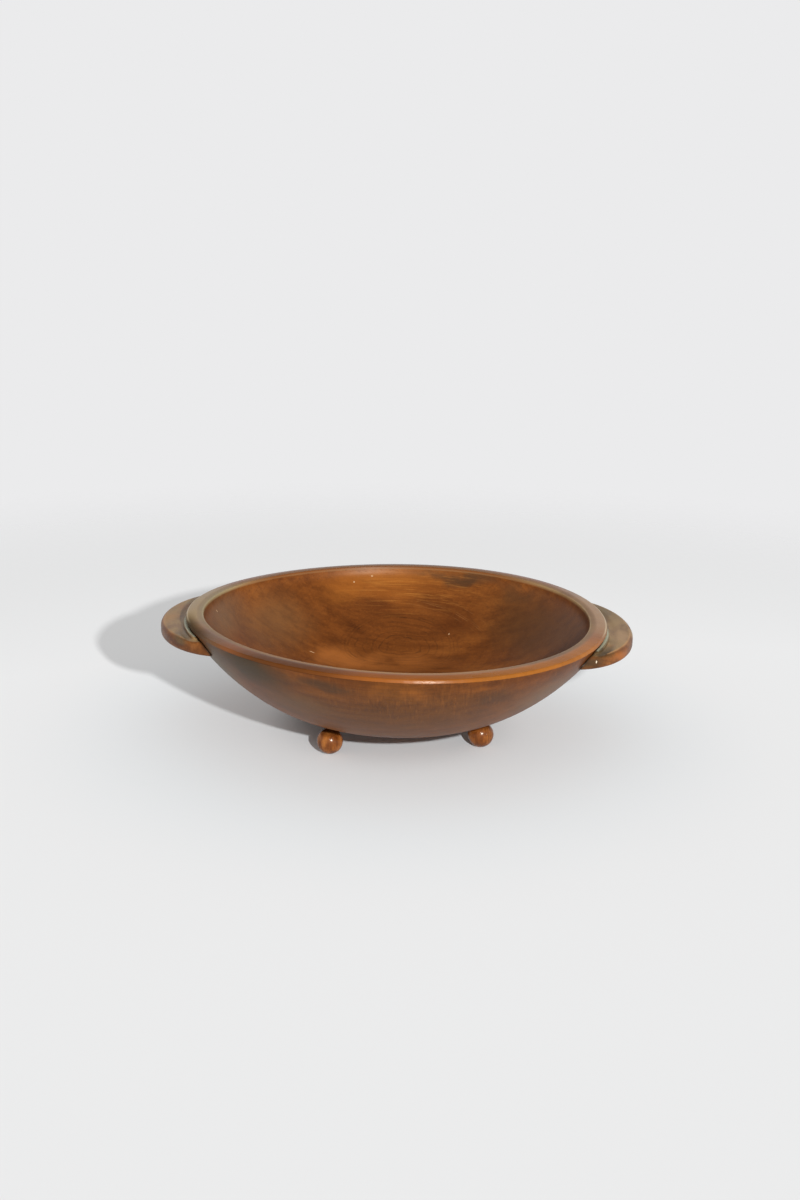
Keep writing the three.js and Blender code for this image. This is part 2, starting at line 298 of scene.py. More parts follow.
def revolved(line, segments):
    """Vertices and faces of a line of radius and height turned about Z, and each vertex's point of the line.

    The line starts and ends on the axis.
    """
    inner = line[1:-1]
    ring = circle(segments)
    points = [np.array([[0, 0, line[0, 1]]])]
    for radius, height in inner:
        points.append(np.concatenate([radius * ring, np.full((segments, 1), height)], 1))
    points.append(np.array([[0, 0, line[-1, 1]]]))
    points = np.concatenate(points)
    last = len(points) - 1
    faces = []
    for j in range(segments):
        k = (j + 1) % segments
        faces.append((0, 1 + k, 1 + j))
        for i in range(len(inner) - 1):
            a = 1 + i * segments
            b = a + segments
            faces.append((a + j, a + k, b + k, b + j))
        a = 1 + (len(inner) - 1) * segments
        faces.append((a + j, a + k, last))
    owner = np.concatenate([[0], np.repeat(np.arange(len(inner)) + 1, segments), [len(line) - 1]])
    return points, faces, owner


def mesh_from(name, points, faces, marks=None):
    mesh = bpy.data.meshes.new(name)
    mesh.from_pydata((points * MM).tolist(), [], faces)
    for label, values in (marks or {}).items():
        attribute = mesh.attributes.new(label, "FLOAT", "POINT")
        attribute.data.foreach_set("value", np.asarray(values, np.float32))
    mesh.validate()
    mesh.update()
    return mesh


def linked(name, data):
    """A new object in the scene."""
    made = bpy.data.objects.new(name, data)
    bpy.context.scene.collection.objects.link(made)
    return made


def cut(mesh, cutters):
    """The mesh with each cutter's mesh taken out of it."""
    piece = linked(mesh.name + "_blank", mesh)
    tools = []
    for index, cutter in enumerate(cutters):
        tool = linked(f"{mesh.name}_cut_{index}", cutter)
        tools.append(tool)
        modifier = piece.modifiers.new(f"cut_{index}", "BOOLEAN")
        modifier.operation = "DIFFERENCE"
        modifier.solver = "MANIFOLD"
        modifier.object = tool
    bpy.context.view_layer.update()
    result = bpy.data.meshes.new_from_object(piece.evaluated_get(bpy.context.evaluated_depsgraph_get()))
    for used in [piece, *tools]:
        bpy.data.objects.remove(used)
    result.name = mesh.name
    return result


def place(name, mesh, node, material, sharp=SHARP_ANGLE):
    """Shows a mesh in place of a CAD node."""
    mesh.name = name
    mesh.shade_smooth()
    mesh.set_sharp_from_angle(angle=math.radians(sharp))
    mesh.materials.clear()
    mesh.materials.append(material)
    piece = linked(name, mesh)
    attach(piece, "root")
    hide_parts(node)


# Handle blank as a distance field, in the turned bowl's millimetres

TABLE_STEP = 0.5
TABLE_RADII = (100, 190)
TABLE_HEIGHTS = (BASE + 40, RIM_TOP + 14)
TABLE_CURVE_STEPS = 500
RISER_STEPS, RISER_TOP = 60, RIM_TOP + 20  # the upright line that takes the rim's place above the body
SIDE_DISTANCE = 1.0  # nearer than this, the way out gives the distance


def body_distance_table():
    """Distance outside the body and the rim, on a grid of radius and height."""
    radii = np.arange(*TABLE_RADII, TABLE_STEP)
    heights = np.arange(*TABLE_HEIGHTS, TABLE_STEP)
    points, outward = body_curve(np.linspace(0, 1, TABLE_CURVE_STEPS))
    points = points + np.array([0, BASE])
    riser = level_line(RISER_TOP, points[0, 1], RIM_RADIUS - QUIRK, RISER_STEPS)[:, ::-1]
    points = np.concatenate([riser, points])
    outward = np.concatenate([np.tile([1.0, 0.0], (RISER_STEPS, 1)), outward])
    r, z = np.meshgrid(radii, heights, indexing="ij")
    table = np.empty(r.shape)
    for i in range(len(radii)):
        delta = np.stack([r[i], z[i]], 1)[:, None] - points[None]
        span = np.hypot(delta[..., 0], delta[..., 1])
        nearest = span.argmin(1)
        rows = np.arange(len(nearest))
        side = (delta[rows, nearest] * outward[nearest]).sum(1)
        table[i] = np.where(span[rows, nearest] < SIDE_DISTANCE, side, np.sign(side) * span[rows, nearest])
    return radii, heights, table


BODY_RADII, BODY_HEIGHTS, BODY_TABLE = body_distance_table()


def body_distance(r, z):
    """The table's distance, read in between its points."""
    i = np.clip((r - BODY_RADII[0]) / TABLE_STEP, 0, len(BODY_RADII) - 1.001)
    j = np.clip((z - BODY_HEIGHTS[0]) / TABLE_STEP, 0, len(BODY_HEIGHTS) - 1.001)
    a, b = i.astype(int), j.astype(int)
    u, v = i - a, j - b
    low = BODY_TABLE[a, b] * (1 - v) + BODY_TABLE[a, b + 1] * v
    high = BODY_TABLE[a + 1, b] * (1 - v) + BODY_TABLE[a + 1, b + 1] * v
    return low * (1 - u) + high * u


def outline_distance(x, y):
    """Distance outside the handle's elliptical outline, close to it."""
    u = x - HANDLE_CENTRE
    k0 = np.hypot(u / HANDLE_HALF_DEPTH, y / HANDLE_HALF_SPAN)
    k1 = np.hypot(u / HANDLE_HALF_DEPTH**2, y / HANDLE_HALF_SPAN**2)
    return k0 * (k0 - 1) / np.maximum(k1, 1e-9)


def blend_max(a, b, k):
    """The greater of two distances, with a rounded ridge."""
    h = np.clip(0.5 + 0.5 * (a - b) / k, 0, 1)
    return b + (a - b) * h + k * h * (1 - h)


def rounded(a, b, radius):
    """The distance outside two faces at once, with a rounded edge between them."""
    a, b = a + radius, b + radius
    return np.minimum(np.maximum(a, b), 0) + np.hypot(np.maximum(a, 0), np.maximum(b, 0)) - radius


def handle_field(p):
    """Distance outside the handle: a slab with a cove and with a ledge at its root, coped to the body."""
    x, y, z = p[..., 0], p[..., 1], p[..., 2]
    r = np.hypot(x, y)
    rim = outline_distance(x, y) + OUTLINE_INSET
    nose = rounded(rim, z - HANDLE_TOP - NOSE_CUT, HANDLE_NOSE)
    slab = blend_max(nose, rounded(rim, HANDLE_BOTTOM - z, HANDLE_EDGE), EDGE_BLEND)
    slab = blend_max(slab, z - HANDLE_TOP, TOP_BLEND)
    cove = COVE_RADIUS - np.hypot(r - COVE_RING, z - (HANDLE_TOP - COVE_DEPTH + COVE_RADIUS))
    slab = blend_max(slab, cove, COVE_BLEND)
    ledge = rounded(r - LEDGE_RING, z - ROOT_TOP, LEDGE_EDGE)
    ledge = np.maximum(ledge, HANDLE_BOTTOM + HANDLE_EDGE - z)
    ledge = blend_max(ledge, rim + LEDGE_INSET, LEDGE_END_BLEND)
    blank = -blend_max(-slab, -ledge, LEDGE_BLEND)
    return blend_max(blank, GLUE_GAP - body_distance(r, z), JOINT_BLEND)


def surface_net(field, low, step):
    """Quads round the zero of a distance grid, one vertex in each cell that it crosses."""
    inside = field < 0
    shape = tuple(n - 1 for n in field.shape)
    corners = [(i, j, k) for i in (0, 1) for j in (0, 1) for k in (0, 1)]

    def view(grid, c):
        return grid[c[0]:c[0] + shape[0], c[1]:c[1] + shape[1], c[2]:c[2] + shape[2]]

    total = sum(view(inside, c).astype(int) for c in corners)
    active = (total > 0) & (total < 8)
    summed = np.zeros(shape + (3,))
    count = np.zeros(shape)
    for a in corners:
        for axis in range(3):
            if a[axis]:
                continue
            b = list(a)
            b[axis] = 1
            fa, fb = view(field, a), view(field, b)
            crossed = (fa < 0) != (fb < 0)
            share = np.where(crossed, fa / np.where(crossed, fa - fb, 1), 0)
            for d in range(3):
                place_d = a[d] + (share if d == axis else 0)
                summed[..., d] += np.where(crossed, place_d, 0)
            count += crossed
    index = np.full(shape, -1)
    index[active] = np.arange(active.sum())
    cells = np.argwhere(active)
    points = low + (cells + summed[active] / count[active][:, None]) * step
    faces = []
    for axis in range(3):
        ahead = [slice(None)] * 3
        behind = [slice(None)] * 3
        ahead[axis] = slice(1, None)
        behind[axis] = slice(None, -1)
        crossing = inside[tuple(behind)] != inside[tuple(ahead)]
        u, v = [d for d in range(3) if d != axis]
        where = np.argwhere(crossing)
        ringed = (where[:, u] > 0) & (where[:, v] > 0) & (where[:, u] < shape[u]) & (where[:, v] < shape[v])
        where = where[ringed]
        quad = []
        for du, dv in ((-1, -1), (0, -1), (0, 0), (-1, 0)):
            c = where.copy()
            c[:, u] += du
            c[:, v] += dv
            quad.append(index[tuple(c.T)])
        quad = np.stack(quad, 1)
        starts_inside = inside[tuple(where.T)]
        flip = starts_inside if axis == 1 else ~starts_inside
        quad[flip] = quad[flip][:, ::-1]
        faces.append(quad)
    return points, np.concatenate(faces)


def handle_shape():
    """Points and quads of a handle on the +X side, drawn onto the field's surface."""
    low, high = np.array(HANDLE_GRID_LOW), np.array(HANDLE_GRID_HIGH)
    counts = np.ceil((high - low) / HANDLE_GRID).astype(int) + 1
    axes = [low[d] + np.arange(counts[d]) * HANDLE_GRID for d in range(3)]
    grid = np.stack(np.meshgrid(*axes, indexing="ij"), -1)
    points, faces = surface_net(handle_field(grid), low, HANDLE_GRID)
    for _ in range(NET_PASSES):
        value = handle_field(points)
        slope = np.stack([
            (handle_field(points + d) - handle_field(points - d)) / (2 * SLOPE_STEP)
            for d in SLOPE_STEP * np.eye(3)
        ], 1)
        steepness = np.maximum((slope**2).sum(1), NET_LEAST_SLOPE)
        points = points - NET_PULL * (value / steepness)[:, None] * slope
    return points, faces


def handle_marks(points, forward, strip):
    """Wear and a painted highlight along the top edge, closeness to the joint as a dark joint with painted
    shade, the pale strip of the ledge as a painted reflection, and the flat top, rubbed and with painted sheen.
    """
    r = np.hypot(points[:, 0], points[:, 1])
    z = points[:, 2]
    rim = -outline_distance(points[:, 0], points[:, 1])
    gap = body_distance(r, z) - GLUE_GAP
    # wear and a painted highlight along the top outer edge
    worn = bell(rim, *RIDGE_WEAR_AND_GLINT_LINE) * between(gap, *RIDGE_WEAR_AND_GLINT_OFF_JOINT)
    worn *= (z > RIDGE_WEAR_AND_GLINT_HEIGHTS[0]) & (z < RIDGE_WEAR_AND_GLINT_HEIGHTS[1])
    # a dark joint line with painted shade where the handle meets the body
    grime_and_shade = bell(np.maximum(gap, 0), 0, JOINT_SHADE_WIDTH)
    # the pale strip along the ledge, a painted reflection
    reach = between(forward, *STRIP_START) * between(forward, *STRIP_END)
    strip_edge = LEDGE_RING - STRIP_INSET + strip * reach
    lip = between(r, strip_edge, strip_edge - STRIP_FADE) * (z > HANDLE_TOP) * (reach > 0)
    # flat top, rubbed and with painted sheen
    top = between(rim, *FLAT_TOP) * (z > HANDLE_TOP - COVE_DEPTH - FLAT_TOP_BELOW)
    return {"edge": worn, "grime_and_shade": grime_and_shade, "lip": lip, "top": top}


# Where the dowels and the feet are, for their holes and seats

def rod_ends(node):
    """Ends and radius of a dowel's node, from its box along its own axis."""
    points = np.array([v.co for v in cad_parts[node].data.vertices]) / MM
    centre = points.mean(0)
    _, _, axes = np.linalg.svd(points - centre, full_matrices=False)
    axis = axes[0]
    run = (points - centre) @ axis
    radius = np.linalg.norm((points - centre) - run[:, None] * axis, axis=1).max()
    return centre + axis * run.min(), centre + axis * run.max(), radius


def rod_mesh(name, start, end, radius):
    """A closed cylinder between two points, for cutting a hole."""
    start, end = Vector(start), Vector(end)
    length = (end - start).length
    line = np.array([[0, 0], [radius, 0], [radius, length], [0, length]], float)
    points, faces, _ = revolved(line, ROD_SEGMENTS)
    turn = (end - start).to_track_quat("Z", "Y").to_matrix()
    points = points @ np.array(turn).T + np.array(start)
    return mesh_from(name, points, faces)


def hole_for(node):
    start, end, radius = rod_ends(node)
    axis = (end - start) / np.linalg.norm(end - start)
    return rod_mesh(node + "_hole", start - END_GAP * axis, end + END_GAP * axis, radius + GLUE_GAP)


def handle_holes(side):
    return [hole_for(f"handle_dowel_{side}_{end}") for end in ("front", "back")]


def foot_place(k):
    angle = FOOT_ANGLE + k * 2 * math.pi / FOOT_COUNT
    return np.array([FOOT_CIRCLE * math.cos(angle), FOOT_CIRCLE * math.sin(angle), 0])


# Node trees

def tone(red, green, blue):
    """Scene colour of a screen colour from 0 to 255."""
    values = [c / 255 for c in (red, green, blue)]
    return tuple(v / 12.92 if v <= 0.04045 else ((v + 0.055) / 1.055)**2.4 for v in values) + (1.0,)


class Nodes:
    """A node tree whose nodes are made by short calls."""

    def __init__(self, tree, output):
        self.tree = tree
        tree.nodes.clear()
        self.output = self.new(output)

    def join(self, source, socket):
        if hasattr(source, "is_output"):
            self.tree.links.new(source, socket)
        else:
            socket.default_value = source

    def new(self, kind, inputs=None, **settings):
        """A node with its settings, and its inputs joined or set by name or number."""
        node = self.tree.nodes.new("ShaderNode" + kind)
        for name, value in settings.items():
            setattr(node, name, value)
        for key, value in (inputs or {}).items():
            self.join(value, node.inputs[key])
        return node

    def math(self, operation, *values, clamp=False):
        return self.new("Math", dict(enumerate(values)), operation=operation, use_clamp=clamp).outputs[0]

    def plus(self, total, *others):
        for other in others:
            total = self.math("ADD", total, other)
        return total

    def times(self, product, *others):
        for other in others:
            product = self.math("MULTIPLY", product, other)
        return product

    def vector(self, operation, *values, output="Vector"):
        return self.new("VectorMath", dict(enumerate(values)), operation=operation).outputs[output]

    def combine(self, *values):
        return self.new("CombineXYZ", dict(enumerate(values))).outputs[0]

    def fit(self, value, low, high, to_low=0.0, to_high=1.0):
        """Eases from one value to another while the input goes from low to high."""
        inputs = {"Value": value, "From Min": low, "From Max": high, "To Min": to_low, "To Max": to_high}
        return self.new("MapRange", inputs, interpolation_type="SMOOTHSTEP").outputs["Result"]

    def mix(self, factor, a, b):
        node = self.new("Mix", {"Factor": factor}, data_type="RGBA")
        for value, socket in zip((a, b), (s for s in node.inputs if s.type == "RGBA")):
            self.join(value, socket)
        return next(s for s in node.outputs if s.type == "RGBA")

    def blend(self, factor, first, second):
        """A mix of two surfaces or backgrounds."""
        return self.new("MixShader", dict(enumerate((factor, first, second)))).outputs[0]

    def seen(self):
        """1 for rays from the camera and their reflections, 0 for the light that goes from face to face."""
        path = self.new("LightPath").outputs
        direct = self.plus(path["Is Camera Ray"], path["Is Glossy Ray"])
        return self.math("ADD", direct, path["Is Transmission Ray"], clamp=True)


class Shader(Nodes):
    """A material made by such calls, in the object's own places."""

    def __init__(self, name):
        self.material = bpy.data.materials.new(name)
        self.material.use_nodes = True
        super().__init__(self.material.node_tree, "OutputMaterial")

    def position(self):
        return self.new("TexCoord").outputs["Object"]

    def attribute(self, name):
        return self.new("Attribute", attribute_name=name).outputs["Fac"]

    def noise(self, where, scale, detail, roughness, output="Fac"):
        inputs = {"Vector": where, "Scale": scale, "Detail": detail, "Roughness": roughness}
        return self.new("TexNoise", inputs).outputs[output]

    def ramp(self, value, stops):
        node = self.new("ValToRGB", {0: value})
        elements = node.color_ramp.elements
        elements[0].position, elements[0].color = stops[0]
        elements[1].position, elements[1].color = stops[-1]
        for position, colour in stops[1:-1]:
            element = elements.new(position)
            element.color = colour
        return node.outputs["Color"]

    def tint(self, colour, other, *factors):
        """The colour, turned to the other by the product of the factors."""
        return self.mix(self.times(*factors), colour, other)

    def spot(self, where, place_mm, reach_mm, softness):
        """1 in the middle of a soft ellipsoid spot, 0 outside it."""
        away = self.vector("SUBTRACT", where, tuple(np.array(place_mm) * MM))
        shrunk = self.vector("MULTIPLY", away, tuple(1 / (r * MM) for r in reach_mm))
        return self.fit(self.vector("LENGTH", shrunk, output="Value"), 1.0, 1.0 - softness)

    def stained(self, colour, where, stains, *limits):
        """The colour with stains on it: middle and reach in mm, colour, strength and softness of each."""
        for place_mm, reach_mm, stain, strength, softness in stains:
            colour = self.tint(colour, stain, self.spot(where, place_mm, reach_mm, softness), *limits, strength)
        return colour

    def streaked(self, colour, where, area, streaks):
        """The colour with fine streaks in an area: repeats a metre along X, Y, Z, limits, strength, colour."""
        area = self.spot(where, *area)
        for repeats, limits, strength, stain in streaks:
            line = self.fit(self.noise(self.vector("MULTIPLY", where, repeats), 1.0, *STREAK_NOISE), *limits)
            colour = self.tint(colour, stain, area, line, strength)
        return colour

    def wobbled(self, amount_mm, scale):
        """The place in the object, pushed about so that stains get uneven borders."""
        where = self.position()
        push = self.noise(where, scale, *WOBBLE_NOISE, "Color")
        pushed = self.vector("MULTIPLY_ADD", push, (amount_mm * MM,) * 3, where)
        return self.vector("SUBTRACT", pushed, (amount_mm * MM / 2,) * 3)

    def arc_line(self, where, centre_mm, radius_mm, half_width_mm):
        """1 on a fine line that runs round an upright axis, 0 beside it."""
        x, y = centre_mm
        level = self.vector("MULTIPLY_ADD", where, (1.0, 1.0, 0.0), (-x * MM, -y * MM, 0.0))
        radius = self.vector("LENGTH", level, output="Value")
        away = self.math("ABSOLUTE", self.math("SUBTRACT", radius, radius_mm * MM))
        return self.fit(away, half_width_mm * MM, SCRATCH_CORE * half_width_mm * MM)

    def bump(self, height, distance, strength, normal=None):
        inputs = {"Strength": strength, "Distance": distance, "Height": height}
        if normal is not None:
            inputs["Normal"] = normal
        return self.new("Bump", inputs).outputs["Normal"]

    def finish(self, colour, roughness, normal, specular):
        inputs = {"Base Color": colour, "Roughness": roughness, "Normal": normal}
        inputs.update({"Specular IOR Level": specular, "Specular Tint": WAX})
        surface = self.new("BsdfPrincipled", inputs).outputs[0]
        self.join(surface, self.output.inputs["Surface"])
        return self.material


# Wood

def unit(vector):
    return tuple(np.array(vector, float) / np.linalg.norm(vector))


WAX = tone(255, 247, 232)  # tint of the gloss
LINEN = tone(164, 134, 92)
NEAR_BLACK = tone(26, 15, 8)
GOLD = tone(170, 102, 34)
HONEY = tone(166, 98, 42)
SMOKE = tone(60, 45, 30)
REDWOOD = tone(66, 28, 8)
UMBER = tone(74, 46, 22)
OLIVE = tone(72, 58, 36)
ASH = tone(116, 84, 52)
TAN = tone(166, 126, 84)
ORANGE = tone(188, 108, 34)
CREAM = tone(206, 186, 150)

# Noises: detail and roughness of each, and for the grain first the repeats a metre along, across and in depth
STREAK_NOISE = (2.0, 0.6)
WOBBLE_NOISE = (3.0, 0.55)
SLOW_BEND = ((5.0, 9.0, 9.0), 2.0, 0.55)
QUICK_BEND = ((14.0, 40.0, 40.0), 2.0, 0.55)
RING_GAPS = ((10.0, 16.0, 60.0), 2.0, 0.55)
STREAKS = ((14.0, 150.0, 150.0), 4.0, 0.62)
FIBRES = ((60.0, 1100.0, 1100.0), 2.0, 0.55)
PORES = ((150.0, 1500.0, 1500.0), 1.0, 0.55)
RAYS = ((520.0, 380.0, 60.0), 2.0, 0.50)
BLOTCH_NOISE = (4.0, 0.60)
BLOTCH_STRETCH = 0.5

# How they show: the noise's limits, or metres or shares of it
SLOW_BEND_SIZE, QUICK_BEND_SIZE = 0.010, 0.0016
RING_RISE, RING_DROP, RING_UNEVEN = (0.55, 0.90), (1.0, 0.93), (0.40, 0.60)
BLOTCH_SHARE, STREAK_SHARE = 0.60, 0.40
TONE_STOPS = (0.32, 0.49, 0.66)
FIBRE_LIMITS, FIBRE_STRENGTH = (0.35, 0.65), 0.14
PALE_RAYS, DARK_RAYS = (0.55, 0.70), (0.43, 0.30)
PORE_LIMITS, PORE_STRENGTH = (0.63, 0.72), 0.22
FIBRE_RELIEF, PORE_RELIEF = 0.4, 0.8


def wood(name, tones, along, layers, ring_centre, ring_mm, ring_strength, ray_strength, blotch_scale):
    """A stained, waxed hardwood from three tones. Its fibres run along, and depth counts through its layers."""
    shader = Shader(name)
    dark, _, light = tones
    where = shader.position()
    axes = (along, unit(np.cross(along, layers)), layers)
    runs = [shader.vector("DOT_PRODUCT", where, axis, output="Value") for axis in axes]

    def stretched(repeats, detail, roughness):
        vector = shader.combine(*(shader.times(run, count) for run, count in zip(runs, repeats)))
        return shader.noise(vector, 1.0, detail, roughness)

    depth = shader.math("SUBTRACT", runs[2], float(np.dot(layers, np.array(ring_centre) * MM)))
    slow = shader.times(stretched(*SLOW_BEND), SLOW_BEND_SIZE)
    quick = shader.times(stretched(*QUICK_BEND), QUICK_BEND_SIZE)
    turn = shader.math("FRACT", shader.math("DIVIDE", shader.plus(depth, slow, quick), ring_mm * MM))
    ring = shader.times(shader.fit(turn, *RING_RISE), shader.fit(turn, *RING_DROP))
    uneven = shader.fit(stretched(*RING_GAPS), *RING_UNEVEN)
    blotch = stretched((blotch_scale * BLOTCH_STRETCH, blotch_scale, blotch_scale), *BLOTCH_NOISE)
    streak = stretched(*STREAKS)
    fibre = stretched(*FIBRES)
    pore = shader.fit(stretched(*PORES), *PORE_LIMITS)
    ray = stretched(*RAYS)
    base = shader.plus(shader.times(blotch, BLOTCH_SHARE), shader.times(streak, STREAK_SHARE))
    colour = shader.ramp(base, list(zip(TONE_STOPS, tones)))
    colour = shader.tint(colour, NEAR_BLACK, ring, uneven, ring_strength)
    colour = shader.tint(colour, NEAR_BLACK, shader.fit(fibre, *FIBRE_LIMITS), FIBRE_STRENGTH)
    colour = shader.tint(colour, light, shader.fit(ray, *PALE_RAYS), ray_strength)
    colour = shader.tint(colour, dark, shader.fit(ray, *DARK_RAYS), ray_strength)
    colour = shader.tint(colour, NEAR_BLACK, pore, PORE_STRENGTH)
    relief = shader.math("SUBTRACT", shader.times(fibre, FIBRE_RELIEF), shader.times(pore, PORE_RELIEF))
    return shader, colour, relief, blotch, streak, depth


# Cover of worn places, patchy with the blotches: their limits, and the least and the most cover; the handles'
# top and ridge also carry painted sheen and a painted highlight
BAND_COVER = (0.30, 0.60, 0.60, 0.95)
EDGE_COVER = (0.30, 0.60, 0.55, 0.95)
TOP_COVER = (0.34, 0.58, 0.40, 0.95)
RIDGE_COVER = (0.35, 0.60, 0.30, 0.80)


# Bowl

FIBRE_ANGLE = math.radians(-13)
ALONG = unit((math.cos(FIBRE_ANGLE), math.sin(FIBRE_ANGLE), 0.0))
LAYERS = unit((-0.03, -0.41, 0.91))
RING_CENTRE = (1.0, 89.0, 35.0)
BOWL_TONES = (tone(84, 42, 12), tone(112, 60, 19), tone(136, 78, 28))

# Stains, worn patches and light places, with painted light and sheen among them: middle and reach in mm,
# colour, strength, softness
BOWL_WOBBLE = (30.0, 26.0)
BOWL_STAINS_AND_PAINTED_LIGHT = [
    ((0, -190, 40), (240, 130, 60), tone(78, 50, 12), 0.50, 0.6),
    # a golden band high on the far inner wall: the wood's tone and a painted pool of light
    ((-30, 136, 72), (100, 26, 24), tone(158, 90, 28), 0.45, 0.9),
    ((-14, 146, 80), (70, 16, 16), GOLD, 0.42, 0.9),
    ((-46, 128, 68), (40, 20, 14), GOLD, 0.20, 0.9),
    ((56, 130, 85), (44, 22, 7), SMOKE, 0.75, 0.8),
    ((30, 140, 84), (34, 16, 6), SMOKE, 0.55, 0.9),
    ((96, 100, 82), (40, 30, 8), SMOKE, 0.45, 0.9),
    ((-18, 124, 58), (26, 12, 8), REDWOOD, 0.55, 0.8),
    ((26, 128, 64), (22, 10, 7), REDWOOD, 0.40, 0.8),
    ((52, 104, 52), (40, 26, 14), REDWOOD, 0.45, 0.9),
    ((38, 122, 62), (26, 16, 10), REDWOOD, 0.45, 0.9),
    # the next two darken the right inner wall
    ((108, 60, 60), (54, 80, 34), UMBER, 0.70, 0.8),
    ((132, 6, 74), (30, 60, 26), SMOKE, 0.45, 0.9),
    ((-20, 62, 29), (84, 30, 10), HONEY, 0.80, 0.9),
    ((-50, 68, 34), (36, 26, 12), HONEY, 0.50, 0.9),
    # painted sheen, paler and greyer, on the left inner wall
    ((-100, 70, 60), (50, 70, 30), ASH, 0.50, 0.9),
    ((100, 98, 74), (40, 30, 16), UMBER, 0.35, 0.9),
    ((-46, -147, 80), (34, 12, 7), SMOKE, 0.65, 0.8),
    ((4, -148, 76), (26, 12, 7), ORANGE, 0.30, 0.9),
    ((50, -142, 77), (30, 12, 6), ORANGE, 0.30, 0.9),
    ((70, -134, 68), (26, 16, 14), SMOKE, 0.40, 0.9),
    ((-100, -118, 82), (66, 46, 20), tone(50, 44, 28), 0.85, 0.8),
    ((-128, -80, 70), (40, 50, 26), OLIVE, 0.60, 0.9),
    # painted sheen on the left inner wall near the rim
    ((-136, 24, 76), (26, 64, 26), tone(118, 90, 60), 0.55, 0.9),
    # painted sheen towards the wall's left outline
    ((-132, -72, 55), (40, 60, 40), tone(92, 90, 70), 0.60, 0.9),
    ((-70, -122, 56), (46, 34, 24), tone(98, 76, 50), 0.40, 0.9),
    # painted sheen towards the wall's right outline
    ((112, -100, 60), (50, 46, 30), tone(118, 92, 66), 0.55, 0.9),
]

# The same for the outer half of the rim
BAND_WOOD = tone(132, 74, 30)
BAND_STAINS = [
    ((-152, 6, 90), (40, 100, 20), tone(160, 128, 70), 0.95, 0.6),
    ((156, 20, 90), (40, 100, 20), TAN, 0.95, 0.6),
    ((104, -112, 88), (124, 84, 30), tone(174, 106, 36), 0.95, 0.6),
    ((20, -160, 88), (60, 20, 20), tone(160, 88, 16), 0.70, 0.9),
    ((0, 158, 90), (130, 44, 20), tone(104, 54, 10), 0.85, 0.6),
    ((-78, -138, 88), (74, 40, 24), tone(88, 46, 8), 0.90, 0.7),
    ((-136, -86, 88), (30, 30, 16), tone(92, 68, 24), 0.70, 0.8),
]

# The same for the worn inner edge of the rim
EDGE_STAINS = [
    ((-20, 150, 90), (200, 120, 30), tone(118, 66, 26), 0.95, 0.5),
    ((-142, 10, 90), (50, 90, 16), tone(154, 142, 106), 0.75, 0.7),
    ((-80, -130, 90), (90, 60, 20), tone(152, 98, 38), 0.85, 0.7),
    ((30, -150, 90), (90, 50, 20), tone(192, 130, 54), 0.75, 0.7),
]

# The same for the pale line along its outer corner: edge wear and a painted glint
CREST_WEAR_AND_GLINTS = [
    ((-160, 6, 89), (30, 66, 14), CREAM, 0.8, 0.5),
    ((160, 2, 89), (30, 70, 14), CREAM, 0.8, 0.5),
]

# Painted shade on the outer half of the rim at the front left, beside the handle, where it turns from the lamp;
# it also dulls the wood there
SHADE_AREA = ((-147, -60, 87), (34, 50, 16), 0.8)
SHADE, SHADE_STRENGTH = tone(36, 32, 18), 0.76

# Slight waves of the rim's outer half
RIM_WAVES = (170.0, 1.0, 0.4)

# Turning marks inside, and ticks on the front wall
TURNED_AREA = ((18, 134, 70), (96, 44, 32), 0.9)
TURNED_STREAKS = [
    ((24.0, 60.0, 760.0), (0.42, 0.62), 0.24, tone(98, 46, 10)),
    ((34.0, 80.0, 1100.0), (0.52, 0.68), 0.22, tone(206, 140, 62)),
]
FRONT_AREA = ((20, -146, 66), (120, 50, 34), 0.8)
FRONT_TICKS = [
    ((620.0, 120.0, 70.0), (0.50, 0.68), 0.30, tone(62, 28, 6)),
    ((540.0, 90.0, 80.0), (0.54, 0.70), 0.20, tone(158, 92, 34)),
]
DARK_STREAK, DARK_STREAK_LIMITS, DARK_STREAK_STRENGTH = tone(70, 34, 8), (0.50, 0.36), 0.10

# Year rings that close round the place where the inside just grazes them: depth below it in mm, and strength
CLOSED_RINGS = [
    (0.3, 0.25), (0.65, 0.38), (1.3, 0.25), (2.2, 0.25), (3.2, 0.3), (4.4, 0.5), (5.0, 0.42), (5.8, 0.3),
]
RING_OFFSET = 0.45  # mm, the mean of the first bend
RING_LINE, RING_CORE = 0.10, 0.1  # half width in mm at 1 mm down, and the share of it that is full
RING_AREA = (RING_CENTRE, (64, 70, 30), 0.5)
RING_BENDS = [((40.0, 2.0, 0.5), 0.0009), ((160.0, 1.0, 0.5), 0.00025)]
RING_BREAKS, RING_BREAK_LIMITS = (60.0, 2.0, 0.6), (0.35, 0.60, 0.25, 1.0)

# Scratches inside: radius in mm about SCRATCH_CENTRE, and strength
SCRATCHES = [(88.6, 0.10), (91.5, 0.18), (92.6, 0.10), (97.4, 0.10)]
SCRATCH_CENTRE = (-10, 40)
SCRATCH_AREA = ((35, 112, 55), (70, 50, 34), 0.6)
SCRATCH_COLOUR = tone(190, 132, 76)
SCRATCH_WIDTH, SCRATCH_CORE = 0.35, 0.2
SCRATCH_WOBBLE = (1.6, 60.0)
SCRATCH_BREAKS, SCRATCH_BREAK_LIMITS = (90.0, 2.0, 0.6), (0.40, 0.60)

# Small chips and scratches that show bare wood: middle and reach in mm
BARE_WOOD = tone(206, 168, 126)
BOWL_FLECKS = [
    ((-139.8, 25.9, 79.4), (0.9, 0.9, 3.0)),
    ((-69.0, 62.9, 36.2), (4.0, 0.6, 1.2)),
    ((-39.4, 137.9, 76.7), (1.0, 1.0, 0.8)),
    ((-24.2, 143.7, 80.9), (1.1, 1.0, 0.8)),
    ((42.6, 95.0, 44.5), (0.8, 1.0, 0.8)),
]


